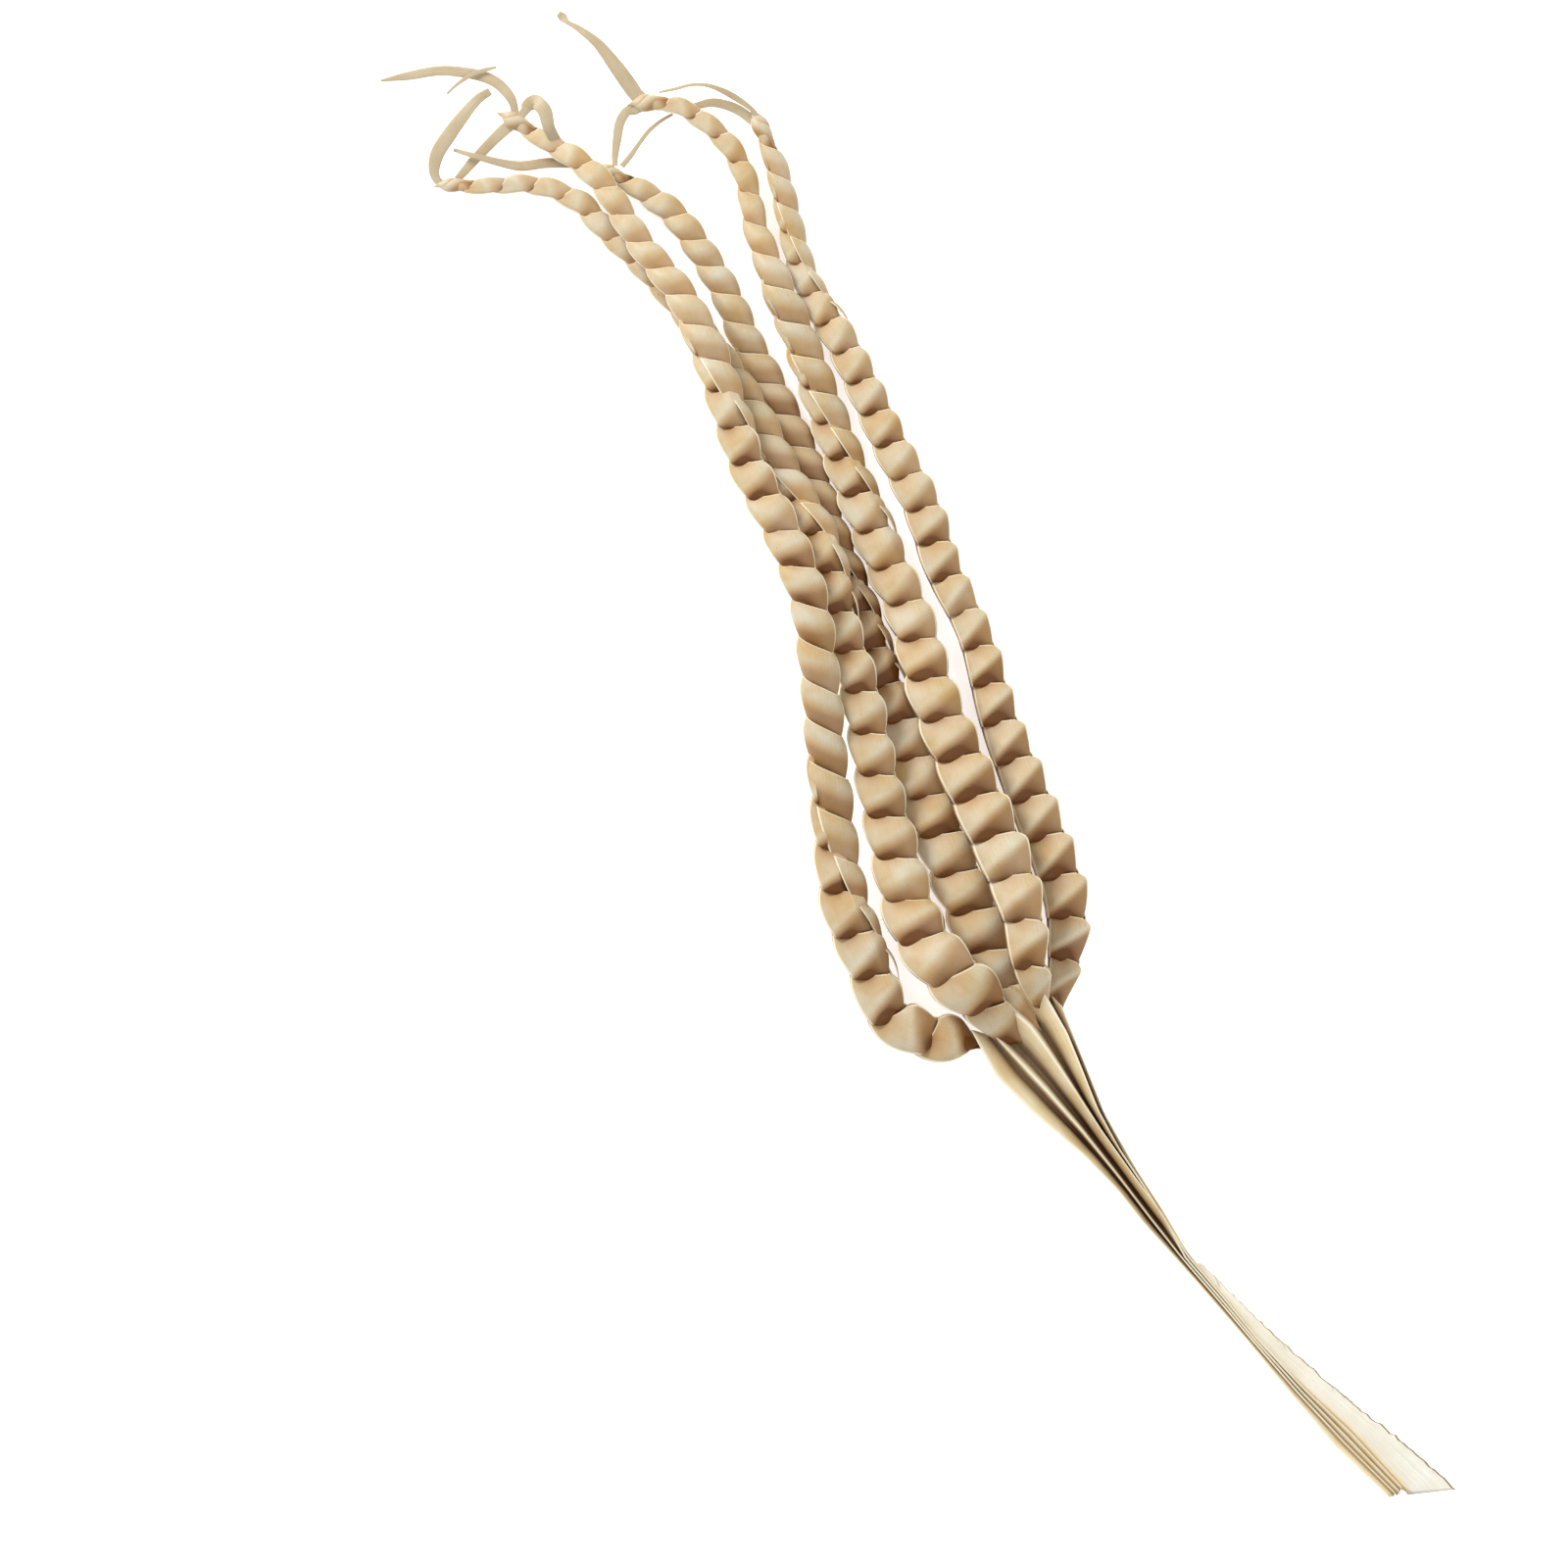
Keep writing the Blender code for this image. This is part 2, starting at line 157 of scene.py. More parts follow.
# Loose tails beyond the knots: u, v, height in mm, width in units.
TAILS = {
    "tail_1a": [
        (524, 108, 6.5, 7), (519, 96, 7, 9), (505, 82, 6, 10), (484, 74, 5, 10),
        (450, 70, 4, 9), (416, 75, 3, 8), (387, 80, 2, 2),
    ],
    "tail_1b": [
        (515, 129, 2.4, 11), (500, 143, 2, 10), (482, 162, 1.4, 9), (474, 171, 1.2, 8),
        (465, 181, 0.8, 6),
    ],
    "tail_1c": [
        (506, 67, 7.4, 2), (494, 70, 7, 4), (480, 75, 6.8, 4), (466, 84, 5.4, 3),
        (455, 94, 4.6, 2),
    ],
    "loop_1": [
        (560, 130, 13, 11), (556, 114, 14, 13), (549, 105, 13, 13), (544, 103, 10, 13),
        (538, 107, 8, 12), (535, 112, 7.6, 8),
    ],
    "tail_2a": [
        (447, 184, 4, 7), (442, 172, 5, 10), (446, 154, 6, 13), (459, 134, 6, 13),
        (473, 115, 5, 11), (486, 100, 4, 9), (499, 91, 3, 7),
    ],
    "tail_2b": [
        (461, 133, 3.6, 3), (467, 122, 3, 4), (473, 108, 2.4, 2),
    ],
    "tail_3a": [
        (610, 169, 2.2, 7), (590, 165, 1.2, 8), (558, 164, 1.2, 9), (530, 167, 1.6, 9),
        (505, 163, 3.6, 7), (482, 157, 5, 5), (462, 151, 3.4, 3),
    ],
    "tail_3b": [
        (634, 168, 4, 5), (643, 157, 3.6, 5), (652, 144, 3, 4), (662, 131, 2, 4),
        (674, 121, 1, 3), (686, 114, 0.8, 2),
    ],
    "tail_4a": [
        (650, 96, 4.6, 13), (641, 84, 5, 14), (628, 66, 5.4, 13), (609, 42, 5, 9),
        (590, 27, 4, 6), (579, 20.5, 3, 4), (573.5, 15, 2, 8),
        (569, 11, 2, 5),
    ],
    "tail_4b": [
        (648, 110, 4.4, 9), (639, 112, 5, 9), (632, 124, 5.4, 9), (629, 142, 5, 8),
        (627, 158, 5, 6), (627, 168, 5.6, 5),
    ],
    "tail_5a": [
        (766, 119, 2.4, 9), (750, 108, 1.2, 9), (728, 102, 0.8, 8), (708, 106, 0.7, 6),
    ],
    "tail_5b": [
        (770, 113, 6.6, 4), (748, 97, 8, 6), (726, 87, 8.6, 4), (707, 85, 8, 3),
        (688, 89, 5, 3), (672, 92, 3.6, 2),
    ],
}

# Tails that come straight out of the knot of their strand.
JOINED = ("tail_1a", "tail_1b", "tail_2a", "tail_3a", "tail_4a", "tail_4b", "tail_5a", "tail_5b")
# Where the loop leaves its strand: u, v, height in mm, width in units.
LOOP_START = (567, 143, 9, 10)
# A tail's half width as a share of its width in the list: a bowed strip is a little wider.
HALF_TAIL = 0.56
# A tail's thickness and bow as shares of its half width.
TAIL_T = 0.07
TAIL_BOW = 0.05
# Half a tail's width on its UV map in mm.
TAIL_HALF_MM = 2.5

# The folded base in the plan: where it starts, the way it runs, and the lines of its pleats.
BASE_START = (1050.0, 1040.0)
BASE_RUN = (0.643, 0.766)
LEFT_EDGE = [
    (991, 1050), (1016.6, 1098), (1051, 1132), (1105, 1177), (1141, 1214), (1166, 1246), (1221, 1307),
    (1272, 1366), (1323, 1428), (1364, 1477), (1421, 1531),
]
RIGHT_EDGE = [
    (1083, 1027), (1105, 1082), (1128, 1139), (1158.6, 1191), (1191, 1241), (1214, 1280), (1262, 1336),
    (1302, 1387), (1343, 1424), (1384, 1460), (1443, 1526),
]
# Each pleat's upper line, and how far across the narrow lower part it goes on.
PLEATS = [
    (LEFT_EDGE, None),
    ([(1016, 1058), (1069, 1114), (1105, 1155), (1141, 1200), (1176, 1246)], 0.34),
    ([(1009.5, 1011), (1050.5, 1046), (1069, 1071), (1096, 1111), (1123, 1152), (1158.6, 1202),
      (1185, 1237)], 0.56),
    ([(1057, 1000), (1071, 1023), (1087, 1050), (1103, 1089), (1119, 1130), (1141, 1171),
      (1167.5, 1211)], 0.78),
    (RIGHT_EDGE, None),
]
# Distances along the base at which its narrow lower part is measured.
LOWER_PART = [290.0, 340.0, 400.0, 470.0, 540.0, 618.0]
# Distance along the base in units, then the heights of ridges, valleys and the right edge in mm.
BASE_HEIGHTS = [
    (-30, 0, 71, 141, 232, 287, 339, 392, 465, 537, 615),
    (24, 23, 21, 17.5, 14.5, 12, 10, 8.6, 7.2, 6, 4.8),
    (12, 11, 9.5, 7.5, 6, 5, 4.6, 4.2, 3.8, 3.4, 3.0),
    (17, 17, 13, 9, 5, 2.6, 1.6, 1.4, 1.4, 1.4, 1.4),
]
# Shares across a pleat at which it has a line of points, from ridge to ridge.
PLEAT_STEPS = (0.0, 0.05, 0.13, 0.2, 0.26, 0.34, 0.44, 0.54, 0.64, 0.74, 0.84, 0.92, 0.96)
# Where a pleat's valley is: the first leans to the right, the others to the left.
FIRST_VALLEY = 0.74
VALLEY = 0.26
# Below 1 the walls of a pleat bow outwards.
WALL_BOW = 0.72
# A pleat's width on its UV map in mm.
PLEAT_MM = 16.0
BASE_ROWS = 90

# The flat margin: its two long edges in the plan, and shares across it, closer by the outer edge.
MARGIN_INNER = [
    (1222, 1292), (1258, 1336), (1298, 1388), (1339, 1427), (1380, 1463), (1439, 1528),
]
MARGIN_OUTER = [
    (1225, 1289), (1270, 1333), (1302, 1364), (1337, 1395), (1372, 1425), (1411, 1456), (1445, 1483),
    (1489, 1523),
]
MARGIN_STEPS = (0.0, 0.2, 0.45, 0.7, 0.86, 0.93, 0.97, 1.0)
MARGIN_ROWS = 60
# Its size on its UV map in mm, and how uneven its torn edge is in units.
MARGIN_LONG_MM = 130.0
MARGIN_WIDE_MM = 18.0
TORN = 0.7

# Frayed places: name, line in the plan, height in mm, count, longest fibre in mm, heading in
# degrees and seed.
FRAYS = [
    ("frayed_margin", [(1240, 1303), (1302, 1364), (1372, 1425), (1440, 1479), (1462, 1499)], 0.8, 32,
     6.0, -82.0, 3),
    ("frayed_cut", [(1424, 1528), (1443, 1526), (1484, 1521)], 1.2, 22, 2.5, -70.0, 5),
    ("fibres_root", [(885, 930), (905, 950)], 26.0, 3, 7.0, -20.0, 8),
    ("fibres_side", [(1072, 960), (1075, 920), (1068, 880)], 19.0, 6, 6.0, 60.0, 9),
]


def place(u, v, z_mm):
    """Points of the plan, with their heights, as metres in the leaf's own frame."""
    x = (np.asarray(u, float) - PLAN_CENTRE) * UNIT
    y = (PLAN_CENTRE - np.asarray(v, float)) * UNIT
    c, s = math.cos(PLAN_TURN), math.sin(PLAN_TURN)
    z = np.asarray(z_mm, float) * MM + 0.0 * x
    return np.stack([c * x + s * y, c * y - s * x, z], -1) + SHIFT


def through(points, steps=8):
    """A smooth curve through the points, as rows of the same numbers."""
    p = np.array(points, float)
    p = np.vstack([2 * p[0] - p[1], p, 2 * p[-1] - p[-2]])
    out = []
    for a, b, c, d in zip(p, p[1:], p[2:], p[3:]):
        for t in np.arange(steps) / steps:
            out.append(0.5 * (2 * b + (c - a) * t + (2 * a - 5 * b + 4 * c - d) * t * t
                              + (3 * b - a - 3 * c + d) * t ** 3))
    out.append(p[-2])
    return np.array(out)


def run_along(points):
    """The distance to each point along the line through them."""
    steps = np.linalg.norm(np.diff(points, axis=0), axis=1)
    return np.concatenate([[0.0], np.cumsum(steps)])


def resample(points, share):
    """Points at the given shares of a line's length."""
    p = np.array(points, float)
    run = run_along(p)
    return np.stack([np.interp(share * run[-1], run, p[:, k]) for k in range(2)], -1)


class Path:
    """A centre line with the half width at any distance along it."""

    def __init__(self, points):
        self.rows = through(points)
        self.points = place(self.rows[:, 0], self.rows[:, 1], self.rows[:, 2])
        self.run = run_along(self.points)
        self.length = self.run[-1]

    def wide_at(self, s):
        return np.interp(s, self.run, self.rows[:, 3]) * UNIT

    def v_at(self, s):
        return float(np.interp(s, self.run, self.rows[:, 1]))

    def lengthened(self):
        """The same line with a straight lead at both ends."""
        ends = []
        for here, there in ((0, 1), (-1, -2)):
            step = self.points[here] - self.points[there]
            ends.append(self.points[here] + step / np.linalg.norm(step) * LEAD)
        return np.vstack([ends[0], self.points, ends[1]])


def table_at(table, v):
    """The table's value at v, in straight steps between its rows."""
    rows = sorted(table)
    return float(np.interp(v, [r[0] for r in rows], [r[1] for r in rows]))


def grid_faces(n, m, offset):
    """Quads of a grid of n by m points, the first of which is number offset."""
    faces = []
    for i in range(n - 1):
        for j in range(m - 1):
            a = offset + i * m + j
            faces.append((a, a + 1, a + m + 1, a + m))
    return faces


def srgb(code):
    """An sRGB hex colour as linear red, green, blue and alpha."""
    parts = [int(code[i:i + 2], 16) / 255 for i in (1, 3, 5)]
    return [p / 12.92 if p <= 0.04045 else ((p + 0.055) / 1.055) ** 2.4 for p in parts] + [1.0]


def add(tree, kind, settings=None, links=None, values=None):
    """Adds one node: its own settings, what each input is linked from, and plain input values."""
    node = tree.nodes.new(kind)
    for key, value in (settings or {}).items():
        setattr(node, key, value)
    for key, value in (values or {}).items():
        node.inputs[key].default_value = value
    for key, source in (links or {}).items():
        tree.links.new(source, node.inputs[key])
    return node


def mesh_piece(name, verts, faces, mat, uvs, shade, rim):
    """A mesh with UVs in mm, and for each point how brown it is, mostly painted shade, and how pale, on its
    free edges and as a painted highlight on its ridges.
    """
    mesh = bpy.data.meshes.new(name)
    mesh.from_pydata([tuple(p) for p in verts], [], faces)
    mesh.polygons.foreach_set("use_smooth", [True] * len(mesh.polygons))
    layer = mesh.uv_layers.new(name="UVMap")
    index = np.empty(len(mesh.loops), np.int32)
    mesh.loops.foreach_get("vertex_index", index)
    layer.data.foreach_set("uv", np.asarray(uvs, np.float32)[index].ravel())
    for key, values in (("depth", shade), ("rim", rim)):
        layer = mesh.attributes.new(key, "FLOAT", "POINT")
        layer.data.foreach_set("value", np.asarray(values, np.float32))
    mesh.materials.append(mat)
    piece = bpy.data.objects.new(name, mesh)
    bpy.context.scene.collection.objects.link(piece)
    return piece


def leaf_material(name, pale, mid, golden, brown, dark, edge, stripe_mm, coat):
    """Dried leaf. Pale and mid are its open faces, golden, brown and dark the painted shade in its folds,
    with some brown tone of its own, edge its pale free edges and the painted highlight on its ridges,
    stripe_mm the spacing of its veins and coat its sheen."""
    mat = bpy.data.materials.new(name)
    mat.use_nodes = True
    tree = mat.node_tree
    shader = tree.nodes["Principled BSDF"]
    uv = add(tree, "ShaderNodeUVMap", {"uv_map": "UVMap"})
    coords = add(tree, "ShaderNodeTexCoord")
    # UV units are millimetres, across the veins in y and along them in x: a vein runs on for
    # about 33 mm.
    stretch = add(tree, "ShaderNodeMapping", {}, {"Vector": uv.outputs["UV"]},
                  {"Scale": (0.03, 1.0 / stripe_mm, 1.0)})
    fine = add(tree, "ShaderNodeTexNoise", {}, {"Vector": stretch.outputs["Vector"]},
               {"Scale": 1.0, "Detail": 4.0, "Roughness": 0.65})
    # Soft patches about 17 mm across.
    broad = add(tree, "ShaderNodeTexNoise", {}, {"Vector": coords.outputs["Object"]},
                {"Scale": 60.0, "Detail": 3.0, "Roughness": 0.6})
    tone = add(tree, "ShaderNodeValToRGB", {}, {"Fac": broad.outputs["Fac"]})
    tone.color_ramp.elements[0].position = 0.32
    tone.color_ramp.elements[0].color = srgb(mid)
    tone.color_ramp.elements[1].position = 0.68
    tone.color_ramp.elements[1].color = srgb(pale)
    stripe = add(tree, "ShaderNodeMix", {"data_type": "RGBA", "blend_type": "MULTIPLY"},
                 {"A": tone.outputs["Color"]})
    lines = add(tree, "ShaderNodeValToRGB", {}, {"Fac": fine.outputs["Fac"]})
    lines.color_ramp.elements[0].position = 0.3
    lines.color_ramp.elements[0].color = srgb("#DCCDB2")
    lines.color_ramp.elements[1].position = 0.62
    lines.color_ramp.elements[1].color = srgb("#FFFFFF")
    tree.links.new(lines.outputs["Color"], stripe.inputs["B"])
    stripe.inputs["Factor"].default_value = 0.45
    depth = add(tree, "ShaderNodeAttribute", {"attribute_name": "depth"})
    # Painted shade: golden where a curl starts to turn from the light, then brown, and darkest in the
    # pockets.
    warm = add(tree, "ShaderNodeValToRGB", {}, {"Fac": depth.outputs["Fac"]})
    warm.color_ramp.elements[0].color = srgb(golden)
    warm.color_ramp.elements[1].color = srgb(dark)
    warm.color_ramp.elements.new(0.6).color = srgb(brown)
    shade_mix = add(tree, "ShaderNodeMix", {"data_type": "RGBA"},
                    {"Factor": depth.outputs["Fac"], "A": stripe.outputs["Result"],
                     "B": warm.outputs["Color"]})
    # The edge colour: the free edges' own pale colour, and a painted highlight along ridges.
    rim = add(tree, "ShaderNodeAttribute", {"attribute_name": "rim"})
    rim_share = add(tree, "ShaderNodeMath", {"operation": "MULTIPLY"}, {0: rim.outputs["Fac"]}, {1: 0.85})
    rimmed = add(tree, "ShaderNodeMix", {"data_type": "RGBA"},
                 {"Factor": rim_share.outputs["Value"], "A": shade_mix.outputs["Result"]})
    rimmed.inputs["B"].default_value = srgb(edge)
    # Sparse dark specks about 1 mm across.
    specks = add(tree, "ShaderNodeTexNoise", {}, {"Vector": coords.outputs["Object"]},
                 {"Scale": 900.0, "Detail": 1.0})
    speck_mask = add(tree, "ShaderNodeMapRange", {}, {"Value": specks.outputs["Fac"]},
                     {"From Min": 0.77, "From Max": 0.8, "To Min": 0.0, "To Max": 0.6})
    spotted = add(tree, "ShaderNodeMix", {"data_type": "RGBA"},
                  {"Factor": speck_mask.outputs["Result"], "A": rimmed.outputs["Result"]})
    spotted.inputs["B"].default_value = srgb(dark)
    tree.links.new(spotted.outputs["Result"], shader.inputs["Base Color"])
    rough = add(tree, "ShaderNodeMapRange", {}, {"Value": fine.outputs["Fac"]},
                {"To Min": 0.42, "To Max": 0.6})
    tree.links.new(rough.outputs["Result"], shader.inputs["Roughness"])
    bump = add(tree, "ShaderNodeBump", {}, {"Height": fine.outputs["Fac"]},
               {"Strength": 0.25, "Distance": 0.0002})
    tree.links.new(bump.outputs["Normal"], shader.inputs["Normal"])
    shader.inputs["IOR"].default_value = 1.45
    shader.inputs["Specular IOR Level"].default_value = 0.35
    shader.inputs["Coat Weight"].default_value = coat
    shader.inputs["Coat Roughness"].default_value = 0.35
    return mat


# Sun-dried palm strip: a thin waxy skin gives a satin sheen, and the veins run lengthwise.
# Its golden, brown and dark colours are painted shade in the curls.
STRIP = leaf_material("sun_dried_palm_strip", "#C8C0AB", "#BDA275", "#C8923C", "#A06A2A", "#6B3F14",
                      "#EFE2C4", 0.5, 0.04)
# The unfolded blade is bleached paler than the strips, with tan stripes along its pleats.
# Its golden, brown and dark colours are painted shade in the valleys of its pleats.
BLADE = leaf_material("bleached_palm_blade", "#F9EDCC", "#EED5A4", "#B8842F", "#7A5020", "#48290E",
                      "#F8EED6", 0.8, 0.08)
# Loose ends are the same leaf, but thinner and a little paler.
TAIL = leaf_material("thin_palm_tail", "#BFAF92", "#B29D7C", "#A8834E", "#8A6438", "#5B3E22",
                     "#EFE2C4", 0.6, 0.06)
# Torn fibres are dry, pale brown and matt.
FIBRE = leaf_material("torn_palm_fibre", "#B99C6A", "#9C7B4A", "#8A6438", "#6E4E2B", "#4A3220",
                      "#B99C6A", 0.5, 0.0)
# The flat margin is nearly white.
MARGIN = leaf_material("white_palm_margin", "#F2EFE4", "#E9E3D2", "#B89C6C", "#A58A5E", "#7A5A38",
                       "#F6F2E6", 0.8, 0.05)


def fall(t, peak, power):
    """0 at the peak, rising to 1 at both seams."""
    after = np.clip((t - peak) / (1.0 - peak), 0.0, 1.1) ** power
    before = np.clip((peak - t) / peak, 0.0, 1.0) ** 2
    return np.where(t > peak, after, before)


def half_angle(blend):
    """How many degrees from the top a lobe reaches the outline: a ridged one is narrower."""
    return 84.0 - 26.0 * blend


def lobe(path, s_mid, pitch, turn, blend, sharp, left, right, lift=0.0, tint=0.0, n=28, m=17,
         zigzag=0.0, slant=None, tuck=0.0, painted_shade_strength=1.0):
    """One curl of a strand that still lies straight along Y, as a patch between two seams.

    left and right are the angles round the strand at which it ends, 0 being the top. Blend is 0 for a
    banded curl and 1 for a ridged one, and sharp is how crisp its ridge is. Where it meets the outline it
    goes on down the side as a hem. Tuck is how far its right end dives under the next column, and the last
    argument is how strong the painted shade on its facets and in its pockets is. The patch is its points,
    their UVs, how brown they are, mostly painted shade, how pale they are along the free edges and in a
    painted highlight on the ridge, and how many there are each way."""
    # t runs from the seam nearer the tip to the one nearer the base, and a little way under it.
    t = np.concatenate([[0.0, 0.035], np.linspace(0.09, 1.0, m - 3), [1.12]])[None, :]
    share = np.concatenate([[0.0, 0.03], np.linspace(0.06, 0.94, n - 4), [0.97, 1.0]])[:, None]
    first = left + zigzag * (t - 0.5)
    side = 90.0 if turn else half_angle(blend)
    hem = 0.0 if turn else HEM
    steps = np.array([0.35, 0.7, 1.0])[:, None]
    on_left = bool(hem) and left < 6.0 - side
    rows = [first + (right - first) * share]
    sunk = [0 * share]
    dive = [tuck * np.clip(share * 4 - 3, 0.0, 1.0)]
    edge = [np.where((share < 0.05) | ((share > 0.95) & (tuck == 0.0)), 1.0, 0.0)]
    if on_left:
        rows.insert(0, left - hem * steps[::-1] + 0 * t)
        sunk.insert(0, steps[::-1])
        edge.insert(0, 0 * steps)
        dive.insert(0, 0 * steps)
    if hem and right > side - 6.0:
        rows.append(right + hem * steps + 0 * t)
        sunk.append(0 * steps)
        edge.append(0 * steps)
        dive.append(tuck + 0 * steps)
    angle = np.radians(np.concatenate(rows))
    # 0 on the curl itself, rising to 1 down the hem on its left.
    sunk = np.concatenate(sunk)
    n = len(angle)
    half = math.radians(side)
    a = np.clip(np.sin(np.clip(angle, -math.pi / 2, math.pi / 2)) / math.sin(half), -1.0, 1.0)
    drop = 0.6 * (1 - blend) + (0.36 - 0.28 * sharp) * blend
    drop = drop if slant is None else slant
    slide = 1 - 2 * ((1 - a) / 2) ** (1 + 1.1 * blend * (1 - sharp))
    crest = (1 - blend) * 0.3 + blend * np.clip(0.56 - 0.44 * a, 0.12, 0.97)
    above = np.clip((crest - t) / crest, 0.0, 1.0)
    below = np.clip((t - crest) / (1.12 - crest), 0.0, 1.0)
    power = 1.7 - 0.7 * sharp
    dip = np.where(t < crest, 0.75 * above ** power * np.clip(crest * 1.7, 0.15, 1.0),
                   below ** power * np.clip((1 - crest) * 1.7, 0.12, 1.0))
    notch_right = (0.2 + blend * (0.1 + 0.1 * sharp)) * fall(t, 0.42 - 0.26 * sharp, 1.8 - 0.7 * sharp)
    notch_left = (0.2 + 0.08 * blend) * (1 - sharp) * fall(t, 0.38, 1.6) + 0.2 * sharp * (1 - t)
    notch_left = notch_left * (1 - sharp * np.minimum(1.5 * sunk, 1.0))
    across = 1 - np.clip(a, 0, 1) ** 2 * notch_right - np.clip(-a, 0, 1) ** 2 * notch_left + lift
    flat = np.maximum(np.abs(np.cos(angle)), 0.15) ** (-0.45 * blend)
    high = (0.74 * flat * (1 - (0.62 + 0.2 * sharp) * dip) + lift) * (1 - np.concatenate(dive))
    s = s_mid - pitch * (t - 0.5) - drop * pitch * slide / 2
    wide = path.wide_at(s)
    out = a if hem else np.sin(angle + turn)
    pos = np.stack([out * wide * across, s + LEAD, np.cos(angle + turn) * wide * high], -1)
    uv = np.stack([(t - 0.5) * pitch / MM + 0 * angle, angle * wide / MM], -1)
    # Painted shade: brown on the facet below the ridge, which turns from the light, on both sides of each
    # seam and darkest in the pocket left of the middle; browner down the left hem, and tint adds tone and
    # painted shadow.
    pocket = np.exp(-((a + 0.25) / 0.6) ** 2) * blend
    facet = np.clip((t - crest) / (0.32 - 0.2 * sharp), 0.0, 1.0)
    brown = (painted_shade_strength * (0.7 * facet + (0.1 + 0.95 * pocket) * below ** 1.2
                      + (0.2 + 0.8 * pocket) * above ** 1.4)
             + tint + sharp * np.minimum(3 * sunk, 1.0))
    # Pale along the free edges, and a painted highlight along the ridge.
    rim = 0.4 * blend * np.exp(-((t - crest) / 0.08) ** 2) * (0.4 + 0.6 * sharp) + 0 * angle
    rim[:, 0] = 1.0
    rim = np.maximum(rim, np.concatenate(edge))
    return pos.reshape(-1, 3), uv.reshape(-1, 2), brown.reshape(-1), rim.reshape(-1), n, m


def bend_tree():
    """Lays a straight strand, built along Y, over a centre line."""
    tree = bpy.data.node_groups.new("follow_centre_line", "GeometryNodeTree")
    face = tree.interface
    face.new_socket(name="Geometry", in_out="INPUT", socket_type="NodeSocketGeometry")
    face.new_socket(name="Centre Line", in_out="INPUT", socket_type="NodeSocketObject")
    face.new_socket(name="Girth", in_out="INPUT", socket_type="NodeSocketFloat")
    face.new_socket(name="Material", in_out="INPUT", socket_type="NodeSocketMaterial")
    face.new_socket(name="Geometry", in_out="OUTPUT", socket_type="NodeSocketGeometry")
    start = add(tree, "NodeGroupInput")
    line = add(tree, "GeometryNodeObjectInfo", {}, {"Object": start.outputs["Centre Line"]})
    curve = add(tree, "GeometryNodeMeshToCurve", {}, {"Mesh": line.outputs["Geometry"]})
    spot = add(tree, "GeometryNodeInputPosition")
    parts = add(tree, "ShaderNodeSeparateXYZ", {}, {"Vector": spot.outputs["Position"]})
    found = add(tree, "GeometryNodeSampleCurve", {"mode": "LENGTH", "use_all_curves": True},
                {"Curves": curve.outputs["Curve"], "Length": parts.outputs["Y"]})
    side = add(tree, "ShaderNodeVectorMath", {"operation": "CROSS_PRODUCT"},
               {0: found.outputs["Tangent"]}, {1: (0.0, 0.0, 1.0)})
    right = add(tree, "ShaderNodeVectorMath", {"operation": "NORMALIZE"}, {0: side.outputs["Vector"]})
    up = add(tree, "ShaderNodeVectorMath", {"operation": "CROSS_PRODUCT"},
             {0: right.outputs["Vector"], 1: found.outputs["Tangent"]})
    across = add(tree, "ShaderNodeMath", {"operation": "MULTIPLY"},
                 {0: parts.outputs["X"], 1: start.outputs["Girth"]})
    above = add(tree, "ShaderNodeMath", {"operation": "MULTIPLY"},
                {0: parts.outputs["Z"], 1: start.outputs["Girth"]})
    go_right = add(tree, "ShaderNodeVectorMath", {"operation": "SCALE"},
                   {0: right.outputs["Vector"], "Scale": across.outputs["Value"]})
    go_up = add(tree, "ShaderNodeVectorMath", {"operation": "SCALE"},
                {0: up.outputs["Vector"], "Scale": above.outputs["Value"]})
    both = add(tree, "ShaderNodeVectorMath", {"operation": "ADD"},
               {0: go_right.outputs["Vector"], 1: go_up.outputs["Vector"]})
    final = add(tree, "ShaderNodeVectorMath", {"operation": "ADD"},
                {0: both.outputs["Vector"], 1: found.outputs["Position"]})
    laid = add(tree, "GeometryNodeSetPosition", {},
               {"Geometry": start.outputs["Geometry"], "Position": final.outputs["Vector"]})
    real = add(tree, "GeometryNodeRealizeInstances", {}, {"Geometry": laid.outputs["Geometry"]})
    dressed = add(tree, "GeometryNodeSetMaterial", {},
                  {"Geometry": real.outputs["Geometry"], "Material": start.outputs["Material"]})
    add(tree, "NodeGroupOutput", {}, {"Geometry": dressed.outputs["Geometry"]})
    return tree


def line_object(name, points):
    """A bare chain of points."""
    mesh = bpy.data.meshes.new(name)
    mesh.from_pydata([tuple(p) for p in points], [(i, i + 1) for i in range(len(points) - 1)], [])
    made = bpy.data.objects.new(name, mesh)
    bpy.context.scene.collection.objects.link(made)
    return made


def run_tree(source, tree, values):
    """Runs a Geometry Nodes tree on an object and keeps the result as a plain mesh."""
    nodes = source.modifiers.new("nodes", "NODES")
    nodes.node_group = tree
    for socket in tree.interface.items_tree:
        if socket.in_out == "INPUT" and socket.name in values:
            nodes[socket.identifier] = values[socket.name]
    view = bpy.context.evaluated_depsgraph_get()
    made = bpy.data.meshes.new_from_object(source.evaluated_get(view))
    name = source.name
    bpy.data.objects.remove(source)
    piece = bpy.data.objects.new(name, made)
    bpy.context.scene.collection.objects.link(piece)
    return piece


BEND = bend_tree()


